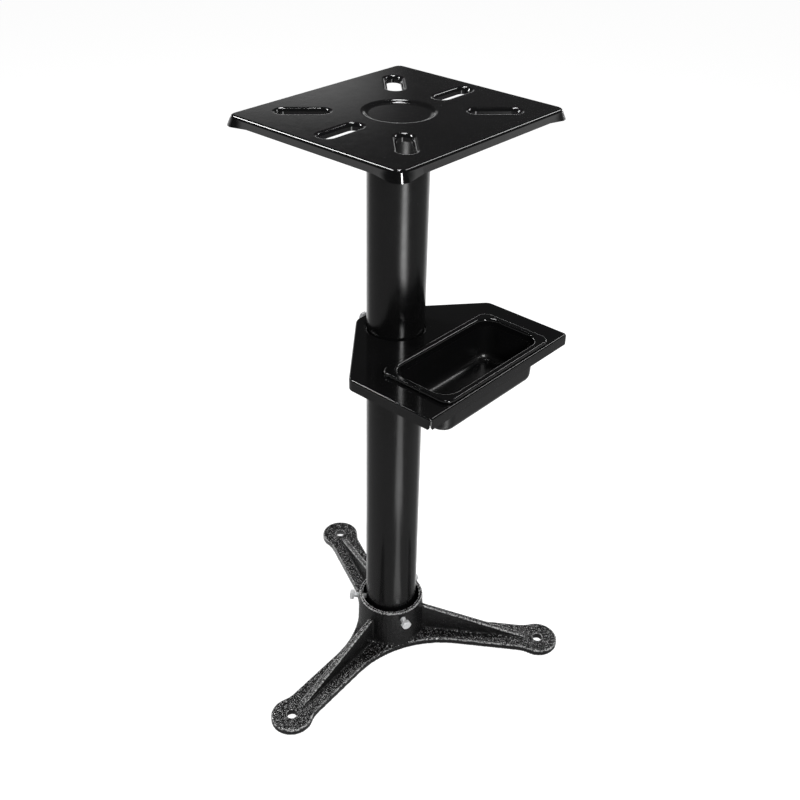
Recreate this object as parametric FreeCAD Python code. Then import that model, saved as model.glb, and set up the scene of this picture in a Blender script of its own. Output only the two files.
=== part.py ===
"""Bench grinder stand: a three-legged cast base, a clamped steel column, a height-adjustable
tool tray with a lift-out water pot, and a flanged mounting plate with bolting slots.

Frame: origin on the column axis at floor level, +Z up. The tray faces -Y and the plate's
sides run along X and Y. Millimetres.
"""
import FreeCAD, Part
import os
from math import acos, cos, degrees, pi, radians, sin, sqrt, tan

Vector = FreeCAD.Vector
ORIGIN = Vector(0, 0, 0)
UP = Vector(0, 0, 1)

# ---------------------------------------------------------------- driving dimensions
stand_height = 825.0          # floor to the top face of the plate

# Base casting
leg_count = 3
base_turn = 184.5             # heading of the first leg, degrees from +X
pad_thickness = 9.5
pad_edge_round = 2.5
leg_neck_width = 47.0
valley_radius = 160.0         # concave side between two legs
toe_radius = 30.0
toe_blend_radius = 45.0
floor_hole_pcd = 462.0
floor_hole_diameter = 14.0
floor_hole_round = 1.5
hub_height = 74.0
hub_top_diameter = 98.0
hub_foot_diameter = 102.0
hub_foot_fillet = 6.0
hub_rim_round = 2.0
bore_diameter = 86.0
ledge_bore_diameter = 60.0    # opening under the ledge that the column stands on
ledge_height = 10.0
web_top_height = 55.0         # where the web's ridge meets the hub
web_end_height = 13.0
web_end_radius = 207.0
web_tail_radius = 214.0       # where the web's tail meets the pad
web_ridge_thickness = 8.0
web_foot_thickness = 11.0
web_ridge_round = 2.5
web_root_stop = 16.0          # the root fillets end this far inside the ridge's end
casting_fillet = 4.0

# Set bolts that clamp the column in the hub
set_bolt_height = 60.0
set_bolt_diameter = 7.9
set_bolt_length = 20.0
set_bolt_across_flats = 13.0
set_bolt_head = 5.3
set_bolt_pitch = 1.25
set_bolt_tip_gap = 0.2        # from the bolt's tip to the column
thread_clearance = 0.05       # radial, bolt in its tapped hole
thread_depth = 0.54           # times the pitch
thread_crest = 0.14           # flat on top of a thread ring, times the pitch
thread_root = 0.02            # flat between two rings, times the pitch
thread_lead = 0.4             # plain tip before the first ring, times the pitch
hexagon_chamfer = 30.0        # degrees from level, on the corners of a head or nut
hexagon_face_share = 0.95     # diameter of the flat left inside the chamfer, times across flats

# Column
column_diameter = 76.0
column_wall = 3.0
weld_leg = 4.5

# Top plate
plate_length = 294.0          # along X, over the bends
plate_width = 264.0           # along Y, over the bends
plate_sheet = 3.0
plate_bend = 4.5              # outer radius of the bend into the lip
plate_corner = 11.0
lip_flare = 12.0              # degrees outwards from vertical
lip_depth = 10.3
lip_corner_flare = 24.0       # the drawn corners stand out further
lip_corner_depth = 12.2       # and hang a little lower
lip_corner_run = 24.0         # along each side, over which a corner fades into the even lip
recess_diameter = 90.0
recess_floor_diameter = 72.0
recess_depth = 3.0
slot_length = 59.0            # clear length, end to end
slot_width = 18.0
slot_rim = 5.5                # width of the drawn-down rim round the slot, in plan
slot_rim_bend = 5.0           # outer radius where the rim leaves the flat
slot_rim_slope = 50.0         # degrees down from level
corner_slot_radius = 111.0    # centre of each diagonal slot from the plate's centre
side_slot_radius = 97.0       # centre of each slot along X

# Tray
tray_height = 543.5           # top face
tray_sheet = 2.0
tray_bend = 3.0
tray_front = 175.5            # from the column axis to the front face
tray_half_width = 137.0
tray_shoulder = 47.5          # where the straight sides end
tray_back = 50.0
tray_back_half_width = 22.0
tray_skirt = 14.5
tray_front_corner = 5.0
tray_shoulder_corner = 14.0
tray_back_corner = 22.0
tray_seam = 0.8               # slit where the skirts meet at a front corner
tray_notch_width = 5.0
tray_notch_height = 4.0
collar_clearance = 0.35       # radial, collar on column
collar_bend = 3.8
collar_depth = 17.0

# Tray clamp bolt and its weld nut
clamp_bolt_drop = 8.9         # below the tray's top face
clamp_bolt_diameter = 7.9
clamp_bolt_length = 16.0
clamp_bolt_across_flats = 13.0
clamp_bolt_head = 5.3
clamp_bolt_pitch = 1.25
clamp_bolt_tip_gap = 0.2
clamp_bolt_hole = 9.0         # through the skirt and the collar
weld_nut_height = 6.5
weld_nut_across_flats = 13.0

# Water pot
pot_length = 206.0            # along X, over the rolled edge
pot_width = 107.0             # along Y
pot_front_margin = 3.0        # tray front face to the rolled edge
pot_sheet = 1.5
pot_bead_radius = 2.6
pot_seat_gap = 0.1
pot_corner = 14.0             # plan corner of the rolled edge
pot_flange = 8.0              # rolled edge to where the sheet bends down
pot_mouth_bend = 3.5
pot_wall_corner = 20.0        # plan corner of the wall
pot_draft = 3.5               # degrees
pot_floor_round = 12.0
pot_depth = 59.0              # flange top to the underside of the floor
pot_cutout_clearance = 1.5

# Cutters
cut_overrun = 1.0             # past the faces that they cut

# ---------------------------------------------------------------- derived places
column_radius = column_diameter / 2
leg_headings = [base_turn + k * 360.0 / leg_count for k in range(leg_count)]
bolt_headings = [base_turn + (k + 0.5) * 360.0 / leg_count for k in range(leg_count)]
floor_hole_radius = floor_hole_pcd / 2
recess_underside = stand_height - recess_depth - plate_sheet
pot_top = tray_height + pot_seat_gap + 2 * pot_bead_radius
pot_centre_y = -(tray_front - pot_front_margin - pot_width / 2)
clamp_bolt_height = tray_height - clamp_bolt_drop
set_bolt_tip = column_radius + set_bolt_tip_gap
clamp_bolt_tip = column_radius + clamp_bolt_tip_gap


# ---------------------------------------------------------------- drawing helpers
def in_plan(x, y):
    return Vector(x, y, 0)


def upright(r, z):
    return Vector(r, 0, z)


def arc(centre, radius, start, end):
    """Arc step from angle start to angle end, in degrees, as (middle point, end point)."""
    def at(angle):
        return (centre[0] + radius * cos(radians(angle)), centre[1] + radius * sin(radians(angle)))
    return (at((start + end) / 2), at(end))


def face(steps, place):
    """Closed face. A step is a point, for a line, or a pair of points, for an arc."""
    edges = []
    first = place(*steps[0])
    here = first
    for step in steps[1:] + [steps[0]]:
        if isinstance(step[0], tuple):
            middle = place(*step[0])
            there = place(*step[1])
            edges.append(Part.Arc(here, middle, there).toShape())
        else:
            there = place(*step)
            if here.distanceToPoint(there) > 1e-6:
                edges.append(Part.LineSegment(here, there).toShape())
        here = there
    return Part.Face(Part.Wire(edges))


def fused(pieces):
    return pieces[0].multiFuse(pieces[1:]).removeSplitter()


def turned(shape, heading, x=0.0, y=0.0):
    """Copy of shape turned about +Z by heading degrees, then moved to x, y."""
    copy = shape.copy()
    copy.rotate(ORIGIN, UP, heading)
    copy.translate(Vector(x, y, 0))
    return copy


def revolved(section, turn=360.0):
    return section.revolve(ORIGIN, UP, turn)


def cylinder(diameter, bottom, top, x=0.0, y=0.0):
    return Part.makeCylinder(diameter / 2, top - bottom, Vector(x, y, bottom))


def corner_places(axis_x, axis_y):
    """The four corner axes of a rectangle with the heading at which each corner starts."""
    return [(axis_x, axis_y, 0), (-axis_x, axis_y, 90), (-axis_x, -axis_y, 180), (axis_x, -axis_y, 270)]


def swept_round(section, axis_x, axis_y):
    """Sweeps an upright section round a rectangle whose corners turn about its four corners."""
    places = corner_places(axis_x, axis_y)
    runs = []
    for index, (x, y, heading) in enumerate(places):
        quarter = revolved(section, 90.0)
        runs.append(turned(quarter, heading, x, y))
        next_x, next_y, next_heading = places[(index + 1) % 4]
        run = Vector(next_x - x, next_y - y, 0)
        if run.Length > 1e-6:
            runs.append(turned(section, next_heading, x, y).extrude(run))
    return fused(runs)


def round_slab(axis_x, axis_y, radius, bottom, top):
    """Flat slab with rounded corners about the four corner axes."""
    section = face([(0, bottom), (radius, bottom), (radius, top), (0, top)], upright)
    pieces = [swept_round(section, axis_x, axis_y)]
    if axis_y > 0:
        core = Part.makeBox(2 * axis_x, 2 * axis_y, top - bottom, Vector(-axis_x, -axis_y, bottom))
        pieces.append(core)
    return fused(pieces)


def filleted(shape, radius, wanted):
    """Rounds the edges of shape that wanted picks out."""
    edges = [edge for edge in shape.Edges if wanted(edge)]
    return shape.makeFillet(radius, edges)


def level(edge, z):
    """True if the whole edge lies at height z."""
    box = edge.BoundBox
    return abs(box.ZMin - z) < 1e-3 and abs(box.ZMax - z) < 1e-3


# ---------------------------------------------------------------- bolts
def hexagon(across_flats, height):
    """Upright hexagonal prism with chamfered top corners, its flats facing +X and -X."""
    corner = across_flats / 2 / cos(pi / 6)
    points = [(corner * sin(k * pi / 3), corner * cos(k * pi / 3)) for k in range(6)]
    prism = face(points, in_plan).extrude(Vector(0, 0, height))
    flat = hexagon_face_share * across_flats / 2
    drop = (corner - flat) * tan(radians(hexagon_chamfer))
    top = [(0, 0), (corner, 0), (corner, height - drop), (flat, height), (0, height)]
    return prism.common(revolved(face(top, upright)))


def threaded_shank(diameter, length, pitch):
    """Upright shank from z = 0, the tip, to z = length, with ring grooves for its thread."""
    crest = diameter / 2
    root = crest - thread_depth * pitch
    flank = pitch * (1 - thread_crest - thread_root) / 2
    flat = pitch * thread_crest
    points = [(0, 0), (root, 0)]
    turns = int((length - pitch) / pitch)
    for turn in range(turns):
        foot = pitch * (turn + thread_lead)
        points += [(crest, foot + flank), (crest, foot + flank + flat), (root, foot + 2 * flank + flat)]
    points += [(root, length), (0, length)]
    return revolved(face(points, upright))


def hex_bolt(diameter, length, pitch, across_flats, head):
    """Hex-head bolt lying along +X, with its tip at the origin."""
    shank = threaded_shank(diameter, length, pitch)
    cap = hexagon(across_flats, head)
    cap.translate(Vector(0, 0, length))
    bolt = fused([shank, cap])
    bolt.rotate(ORIGIN, Vector(0, 1, 0), 90)
    return bolt


# ---------------------------------------------------------------- base casting
def base_outline():
    """Plan outline of the three legs, with a concave side between each pair."""
    neck = leg_neck_width / 2
    half_turn = pi / leg_count
    valley_reach = (neck + valley_radius) / sin(half_turn)
    valley_foot = valley_reach * cos(half_turn)
    valley_bottom = valley_reach - valley_radius
    side = neck + toe_blend_radius
    blend_foot = floor_hole_radius - sqrt((toe_radius + toe_blend_radius) ** 2 - side ** 2)
    toe_angle = degrees(acos((blend_foot - floor_hole_radius) / (toe_radius + toe_blend_radius)))
    blend_start = toe_angle - 180.0

    def placed(step, heading):
        def turn(point):
            c = cos(radians(heading))
            s = sin(radians(heading))
            return (point[0] * c - point[1] * s, point[0] * s + point[1] * c)
        if isinstance(step[0], tuple):
            return (turn(step[0]), turn(step[1]))
        return turn(step)

    toe = (floor_hole_radius, 0)
    leg = [
        (valley_foot, -neck),
        (blend_foot, -neck),
        arc((blend_foot, -side), toe_blend_radius, 90.0, -blend_start),
        arc(toe, toe_radius, -toe_angle, toe_angle),
        arc((blend_foot, side), toe_blend_radius, blend_start, -90.0),
        (valley_foot, neck),
    ]
    steps = []
    for heading in leg_headings:
        steps += [placed(step, heading) for step in leg]
        middle = placed((valley_bottom, 0), heading + degrees(half_turn))
        end = placed((valley_foot, -neck), heading + 2 * degrees(half_turn))
        steps.append((middle, end))
    return steps


def floor_hole(x, y):
    """Cutter for a bolt hole with a rounded rim."""
    bore = floor_hole_diameter / 2
    wide = bore + floor_hole_round
    top = pad_thickness + cut_overrun
    cutter = face([
        (0, 0),
        (bore, 0),
        (bore, pad_thickness - floor_hole_round),
        arc((wide, pad_thickness - floor_hole_round), floor_hole_round, 180.0, 90.0),
        (wide, top),
        (0, top),
    ], upright)
    return turned(revolved(cutter), 0.0, x, y)


def web_profile():
    """Side view of a web: ridge from the hub down to a short sloping tail."""
    inner = (bore_diameter + hub_top_diameter) / 4
    foot = pad_thickness / 2
    return face([
        (inner, foot),
        (web_tail_radius, foot),
        (web_tail_radius, pad_thickness),
        (web_end_radius, web_end_height),
        (hub_top_diameter / 2, web_top_height),
        (inner, web_top_height),
    ], upright)


def web(heading):
    """Tapered web standing on one leg, with a rounded ridge and a concave root on both sides."""
    profile = web_profile()
    profile.translate(Vector(0, -web_foot_thickness, 0))
    blank = profile.extrude(Vector(0, 2 * web_foot_thickness, 0))
    ridge = web_ridge_thickness / 2
    root = web_foot_thickness / 2
    inner = blank.BoundBox.XMin
    section = face([(-root, 0), (root, 0), (ridge, web_top_height), (-ridge, web_top_height)],
                   lambda across, z: Vector(inner, across, z))
    wedge = section.extrude(Vector(web_tail_radius - inner, 0, 0))
    body = blank.common(wedge)

    def on_ridge(edge):
        box = edge.BoundBox
        slopes = min(box.XLength, box.ZLength) > web_ridge_round
        return slopes and abs(box.ZMax - web_top_height) < 1e-3

    body = filleted(body, web_ridge_round, on_ridge)
    side = root - (root - ridge) * (pad_thickness + casting_fillet) / web_top_height
    wide = side + casting_fillet
    low = pad_thickness / 2
    top = pad_thickness + casting_fillet
    roots = []
    for sign in (-1, 1):
        start, stop = (180.0, 270.0) if sign > 0 else (0.0, -90.0)
        flare = face([
            (0, low),
            (sign * wide, low),
            (sign * wide, pad_thickness),
            (arc((sign * wide, top), casting_fillet, stop, start)),
            (0, top),
        ], lambda across, z: Vector(inner, across, z))
        roots.append(flare.extrude(Vector(web_end_radius - web_root_stop - inner, 0, 0)))
    return turned(fused([body] + roots), heading)


def hub():
    """Drafted hub with a rounded rim and a concave foot that stays on the flat of the pad."""
    top = hub_top_diameter / 2
    foot = hub_foot_diameter / 2
    low = pad_thickness / 2
    rim = [
        (0, low),
        (foot, low),
        (foot, pad_thickness),
        (top, hub_height - hub_rim_round),
        arc((top - hub_rim_round, hub_height - hub_rim_round), hub_rim_round, 0.0, 90.0),
        (0, hub_height),
    ]
    wide = foot + hub_foot_fillet
    high = pad_thickness + hub_foot_fillet
    flare = [
        (0, low),
        (wide, low),
        (wide, pad_thickness),
        arc((wide, high), hub_foot_fillet, 270.0, 180.0),
        (0, high),
    ]
    flat = face(base_outline(), in_plan).makeOffset2D(-pad_edge_round)
    flat = flat.extrude(Vector(0, 0, high))
    return fused([revolved(face(rim, upright)), revolved(face(flare, upright)).common(flat)])


def base_casting():
    pad = face(base_outline(), in_plan).extrude(Vector(0, 0, pad_thickness))
    pad = filleted(pad, pad_edge_round, lambda edge: level(edge, pad_thickness))
    webs = [web(heading) for heading in leg_headings]
    casting = fused([pad, hub()] + webs)
    tapped = set_bolt_diameter / 2 + thread_clearance
    cuts = [
        cylinder(bore_diameter, ledge_height, hub_height),
        cylinder(ledge_bore_diameter, 0, ledge_height),
    ]
    for heading in leg_headings:
        x = floor_hole_radius * cos(radians(heading))
        y = floor_hole_radius * sin(radians(heading))
        cuts.append(floor_hole(x, y))
    start = Vector(0, 0, set_bolt_height)
    for heading in bolt_headings:
        hole = Part.makeCylinder(tapped, hub_foot_diameter / 2, start, Vector(1, 0, 0))
        cuts.append(turned(hole, heading))
    for cutter in cuts:
        casting = casting.cut(cutter)
    return casting


def set_bolt(heading):
    bolt = hex_bolt(
        set_bolt_diameter, set_bolt_length, set_bolt_pitch, set_bolt_across_flats, set_bolt_head)
    bolt.translate(Vector(set_bolt_tip, 0, set_bolt_height))
    return turned(bolt, heading)


# ---------------------------------------------------------------- column
def column_tube():
    outside = cylinder(column_diameter, ledge_height, recess_underside)
    inside = cylinder(column_diameter - 2 * column_wall, ledge_height, recess_underside)
    return outside.cut(inside)


def column_weld():
    """Fillet weld all round the column, under the plate's recess."""
    bead = face([
        (column_radius, recess_underside - weld_leg),
        (column_radius + weld_leg, stand_height - plate_sheet),
        (column_radius, stand_height - plate_sheet),
    ], upright)
    return revolved(bead).cut(revolved(recess_section()))


# ---------------------------------------------------------------- top plate
def lip_section(depth, flare):
    """Edge of the plate, from the corner axis out over the bend and down the flared lip."""
    inner_bend = plate_bend - plate_sheet
    start = plate_corner - plate_bend
    centre = (start, stand_height - plate_bend)
    outer_end = arc(centre, plate_bend, 90.0, flare)
    inner_end = arc(centre, inner_bend, 90.0, flare)
    bottom = stand_height - depth
    slope = tan(radians(flare))
    outer_low = (outer_end[1][0] + slope * (outer_end[1][1] - bottom), bottom)
    inner_low = (inner_end[1][0] + slope * (inner_end[1][1] - bottom), bottom)
    under = stand_height - plate_sheet
    return face([
        (0, stand_height),
        (start, stand_height),
        outer_end,
        outer_low,
        inner_low,
        inner_end[1],
        (inner_end[0], (start, under)),
        (0, under),
    ], upright)


def plate_rim(axis_x, axis_y):
    """Lip all round the plate: drawn corners that fade into the even lip of each side."""
    corner = lip_section(lip_corner_depth, lip_corner_flare)
    even = lip_section(lip_depth, lip_flare)
    places = corner_places(axis_x, axis_y)
    pieces = []
    for index, (x, y, heading) in enumerate(places):
        next_x, next_y, side = places[(index + 1) % 4]
        run = Vector(next_x - x, next_y - y, 0)
        fade = run * (lip_corner_run / run.Length)
        start = turned(corner, side, x, y)
        near = turned(even, side, x + fade.x, y + fade.y)
        far = turned(even, side, next_x - fade.x, next_y - fade.y)
        end = turned(corner, side, next_x, next_y)
        pieces.append(turned(revolved(corner, 90.0), heading, x, y))
        pieces.append(Part.makeLoft([start.OuterWire, near.OuterWire], True, True))
        pieces.append(near.extrude(run - fade * 2))
        pieces.append(Part.makeLoft([far.OuterWire, end.OuterWire], True, True))
    return fused(pieces)


def recess_section():
    """Half section of the shallow round recess: two equal bends between its rim and its floor."""
    rim = recess_diameter / 2
    floor = recess_floor_diameter / 2
    width = rim - floor
    turn = 2 * degrees(acos(width / sqrt(width ** 2 + recess_depth ** 2)))
    radius = width / (2 * sin(radians(turn)))
    low = stand_height - recess_depth
    rim_arc = arc((rim, stand_height - radius), radius, 90.0, 90.0 + turn)
    floor_arc = arc((floor, low + radius), radius, -90.0 + turn, -90.0)
    under_floor_arc = arc((floor, low + radius - plate_sheet), radius, -90.0, -90.0 + turn)
    under_rim_arc = arc((rim, stand_height - radius - plate_sheet), radius, 90.0 + turn, 90.0)
    return face([
        (0, low),
        (0, low - plate_sheet),
        (floor, low - plate_sheet),
        under_floor_arc,
        under_rim_arc,
        (rim, stand_height),
        rim_arc,
        floor_arc,
    ], upright)


def slot_section():
    """Section of a slot's drawn-down rim, from the flat inwards to the pierced upright edge."""
    clear = slot_width / 2
    rim = clear + slot_rim
    centre = (rim, stand_height - slot_rim_bend)
    turn = 90.0 + slot_rim_slope
    slope = tan(radians(slot_rim_slope))
    outer = arc(centre, slot_rim_bend, 90.0, turn)
    inner = arc(centre, slot_rim_bend - plate_sheet, turn, 90.0)
    inner_start = arc(centre, slot_rim_bend - plate_sheet, 90.0, turn)[1]
    edge_top = outer[1][1] - (outer[1][0] - clear) * slope
    edge_foot = inner_start[1] - (inner_start[0] - clear) * slope
    return face([
        (rim, stand_height),
        outer,
        (clear, edge_top),
        (clear, edge_foot),
        inner_start,
        inner,
    ], upright)


def slot_places():
    """Centre and heading of each slot: one on each diagonal and one towards each end."""
    places = [(corner_slot_radius, 45.0 + 90.0 * k) for k in range(4)]
    places += [(side_slot_radius, 180.0 * k) for k in range(2)]
    return places


def top_plate():
    axis_x = plate_length / 2 - plate_corner
    axis_y = plate_width / 2 - plate_corner
    under = stand_height - plate_sheet
    rim = plate_rim(axis_x, axis_y)
    middle = Part.makeBox(2 * axis_x, 2 * axis_y, plate_sheet, Vector(-axis_x, -axis_y, under))
    plate = fused([rim, middle])
    plate = plate.cut(cylinder(recess_diameter, under, stand_height))
    straight = (slot_length - slot_width) / 2
    rim_radius = slot_width / 2 + slot_rim
    opening = round_slab(straight, 0, rim_radius, under, stand_height)
    flange = swept_round(slot_section(), straight, 0)
    pieces = [revolved(recess_section())]
    for radius, heading in slot_places():
        x = radius * cos(radians(heading))
        y = radius * sin(radians(heading))
        plate = plate.cut(turned(opening, heading, x, y))
        pieces.append(turned(flange, heading, x, y))
    return fused([plate] + pieces)


# ---------------------------------------------------------------- tray
def tray_corners():
    """Plan corners of the tray's outer face, counter-clockwise, each with its corner radius."""
    return [
        (-tray_half_width, -tray_front, tray_front_corner),
        (tray_half_width, -tray_front, tray_front_corner),
        (tray_half_width, -tray_shoulder, tray_shoulder_corner),
        (tray_back_half_width, tray_back, tray_back_corner),
        (-tray_back_half_width, tray_back, tray_back_corner),
        (-tray_half_width, -tray_shoulder, tray_shoulder_corner),
    ]


def round_polygon(corners, inset):
    """Plan face of a convex polygon with rounded corners, moved inwards by inset."""
    points = [Vector(x, y, 0) for x, y, radius in corners]
    count = len(points)
    steps = []
    for index, (x, y, radius) in enumerate(corners):
        here = points[index]
        towards_last = (points[index - 1] - here).normalize()
        towards_next = (points[(index + 1) % count] - here).normalize()
        half = towards_last.getAngle(towards_next) / 2
        bisector = (towards_last + towards_next).normalize()
        axis = here + bisector * (radius / sin(half))
        reach = radius - inset
        start = here + towards_last * (radius / tan(half))
        end = here + towards_next * (radius / tan(half))
        start = axis + (start - axis).normalize() * reach
        end = axis + (end - axis).normalize() * reach
        middle = axis - bisector * reach
        steps.append((start.x, start.y))
        steps.append(((middle.x, middle.y), (end.x, end.y)))
    return face(steps, in_plan)


def collar_section():
    """Drawn collar round the column, from its lower edge up over its bend to the sheet."""
    bore = column_radius + collar_clearance
    rim = bore + collar_bend
    centre = (rim, tray_height - collar_bend)
    low = tray_height - collar_depth
    return face([
        (rim, tray_height),
        arc(centre, collar_bend, 90.0, 180.0),
        (bore, low),
        (bore + tray_sheet, low),
        (bore + tray_sheet, centre[1]),
        arc(centre, collar_bend - tray_sheet, 180.0, 90.0),
        (rim, tray_height - tray_sheet),
    ], upright)


def corner_relief(x):
    """Seam between two skirts at a front corner, with a notch at its foot."""
    skirt_foot = tray_height - tray_skirt
    seam_top = tray_height - tray_bend
    rounding = tray_front_corner * (sqrt(2) - 1)
    reach = rounding + tray_sheet + cut_overrun
    depth = reach + cut_overrun
    seam = Part.makeBox(depth, tray_seam, seam_top - skirt_foot, Vector(0, -tray_seam / 2, skirt_foot))
    half = tray_notch_width / 2
    notch = face([(-half, skirt_foot), (half, skirt_foot), (0, skirt_foot + tray_notch_height)],
                 lambda across, z: Vector(0, across, z))
    notch = notch.extrude(Vector(depth, 0, 0))
    cutter = fused([seam, notch])
    heading = -135.0 if x < 0 else -45.0
    inwards = Vector(cos(radians(heading)), sin(radians(heading)), 0)
    place = Vector(x, -tray_front, 0) - inwards * reach
    return turned(cutter, heading, place.x, place.y)


def tool_tray():
    corners = tray_corners()
    drop = Vector(0, 0, -tray_skirt)
    outside = round_polygon(corners, 0.0)
    outside.translate(Vector(0, 0, tray_height))
    blank = outside.extrude(drop)
    blank = filleted(blank, tray_bend, lambda edge: level(edge, tray_height))
    inside = round_polygon(corners, tray_sheet)
    inside.translate(Vector(0, 0, tray_height - tray_sheet))
    core = inside.extrude(drop)
    core = filleted(core, tray_bend - tray_sheet, lambda edge: level(edge, tray_height - tray_sheet))
    tray = blank.cut(core)
    under = tray_height - tray_sheet
    rim = column_radius + collar_clearance + collar_bend
    tray = tray.cut(cylinder(2 * rim, under, tray_height))
    tray = fused([tray, revolved(collar_section())])
    cutout = pot_wall_corner + pot_sheet + pot_cutout_clearance
    opening = round_slab(pot_axis_x(), pot_axis_y(), cutout, under, tray_height)
    opening.translate(Vector(0, pot_centre_y, 0))
    bolt_way = Part.makeCylinder(clamp_bolt_hole / 2, tray_back + cut_overrun,
                                 Vector(0, 0, clamp_bolt_height), Vector(0, 1, 0))
    cuts = [opening, bolt_way]
    for x in (-tray_half_width, tray_half_width):
        cuts.append(corner_relief(x))
    for cutter in cuts:
        tray = tray.cut(cutter)
    return tray


def tray_weld_nut():
    """Hexagon weld nut inside the rear skirt."""
    inner_face = tray_back - tray_sheet
    nut = hexagon(weld_nut_across_flats, weld_nut_height)
    tapped = clamp_bolt_diameter / 2 + thread_clearance
    nut = nut.cut(Part.makeCylinder(tapped, weld_nut_height))
    nut.rotate(ORIGIN, Vector(1, 0, 0), 90)
    nut.rotate(ORIGIN, Vector(0, 1, 0), 90)
    nut.translate(Vector(0, inner_face, clamp_bolt_height))
    return nut


def tray_clamp_bolt():
    bolt = hex_bolt(clamp_bolt_diameter, clamp_bolt_length, clamp_bolt_pitch,
                    clamp_bolt_across_flats, clamp_bolt_head)
    bolt.rotate(ORIGIN, UP, 90)
    bolt.translate(Vector(0, clamp_bolt_tip, clamp_bolt_height))
    return bolt


# ---------------------------------------------------------------- water pot
def pot_wall_inset():
    """From the rolled edge to the inner face of the wall at its mouth."""
    return pot_flange + pot_mouth_bend - pot_sheet


def pot_axis_x():
    return pot_length / 2 - pot_wall_inset() - pot_wall_corner


def pot_axis_y():
    return pot_width / 2 - pot_wall_inset() - pot_wall_corner


def bead_section():
    """Outer flange of the pot with its rolled edge, from the corner axis outwards."""
    centre = (pot_corner - pot_bead_radius, pot_top - pot_bead_radius)
    under = pot_top - pot_sheet
    rise = pot_bead_radius - pot_sheet
    join = degrees(acos(-sqrt(pot_bead_radius ** 2 - rise ** 2) / pot_bead_radius))
    return face([
        (0, pot_top),
        (centre[0], pot_top),
        arc(centre, pot_bead_radius, 90.0, join - 360.0),
        (0, under),
    ], upright)


def wall_section():
    """Pot from the corner axis across its floor, up the drafted wall and over the mouth."""
    floor_top = pot_top - pot_depth + pot_sheet
    floor_under = pot_top - pot_depth
    mouth = pot_wall_corner
    rim = mouth + pot_mouth_bend
    slope = tan(radians(pot_draft))
    mouth_centre = (rim, pot_top - pot_mouth_bend)
    inner_floor_radius = pot_floor_round - pot_sheet
    top_in = arc(mouth_centre, pot_mouth_bend, 90.0, 180.0 - pot_draft)
    top_out = arc(mouth_centre, pot_mouth_bend - pot_sheet, 90.0, 180.0 - pot_draft)
    wall_run = top_in[1][1] - (floor_top + inner_floor_radius)
    foot = top_in[1][0] - slope * wall_run
    set_in = inner_floor_radius * (cos(radians(pot_draft)) - slope * sin(radians(pot_draft)))
    foot_centre = (foot - set_in, floor_top + inner_floor_radius)
    low_in = arc(foot_centre, inner_floor_radius, -pot_draft, -90.0)
    low_out = arc(foot_centre, pot_floor_round, -90.0, -pot_draft)
    return face([
        (rim, pot_top),
        top_in,
        arc(foot_centre, inner_floor_radius, -pot_draft, -pot_draft)[1],
        low_in,
        (0, floor_top),
        (0, floor_under),
        (foot_centre[0], floor_under),
        low_out,
        top_out[1],
        (top_out[0], (rim, pot_top - pot_sheet)),
    ], upright)


def water_pot():
    axis_x = pot_axis_x()
    axis_y = pot_axis_y()
    floor_under = pot_top - pot_depth
    wall = swept_round(wall_section(), axis_x, axis_y)
    floor = Part.makeBox(2 * axis_x, 2 * axis_y, pot_sheet, Vector(-axis_x, -axis_y, floor_under))
    bead_x = pot_length / 2 - pot_corner
    bead_y = pot_width / 2 - pot_corner
    bead = swept_round(bead_section(), bead_x, bead_y)
    under = pot_top - pot_sheet
    flange = Part.makeBox(2 * bead_x, 2 * bead_y, pot_sheet, Vector(-bead_x, -bead_y, under))
    mouth = round_slab(axis_x, axis_y, pot_wall_corner + pot_mouth_bend, under, pot_top)
    flange = fused([bead, flange]).cut(mouth)
    pot = fused([flange, wall, floor])
    pot.translate(Vector(0, pot_centre_y, 0))
    return pot


# ---------------------------------------------------------------- nodes
def nodes():
    pieces = {
        "base_casting": base_casting(),
        "column_tube": column_tube(),
        "column_weld": column_weld(),
        "top_plate": top_plate(),
        "tool_tray": tool_tray(),
        "tray_weld_nut": tray_weld_nut(),
        "tray_clamp_bolt": tray_clamp_bolt(),
        "water_pot": water_pot(),
    }
    for index, heading in enumerate(bolt_headings):
        pieces[f"set_bolt_{index + 1}"] = set_bolt(heading)
    return pieces


os.makedirs("parts", exist_ok=True)
for name, shape in nodes().items():
    shape.exportStep(f"parts/{name}.step")
    box = shape.BoundBox
    size = f"{box.XLength:.1f} x {box.YLength:.1f} x {box.ZLength:.1f}"
    print(f"{name:16s} solids {len(shape.Solids)} valid {shape.isValid()} size {size}")
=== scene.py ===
"""Bench grinder stand: cast three-legged base, steel column, tool tray with water pot, top plate.

Metres, +Z up, origin on the column axis at floor level; the tray faces -Y.
"""
from math import cos, pi, radians, sin

import bpy
import numpy as np
from bpy.props import FloatProperty, FloatVectorProperty, IntProperty, PointerProperty
from mathutils import Matrix, Vector, noise
from mathutils.bvhtree import BVHTree


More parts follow.
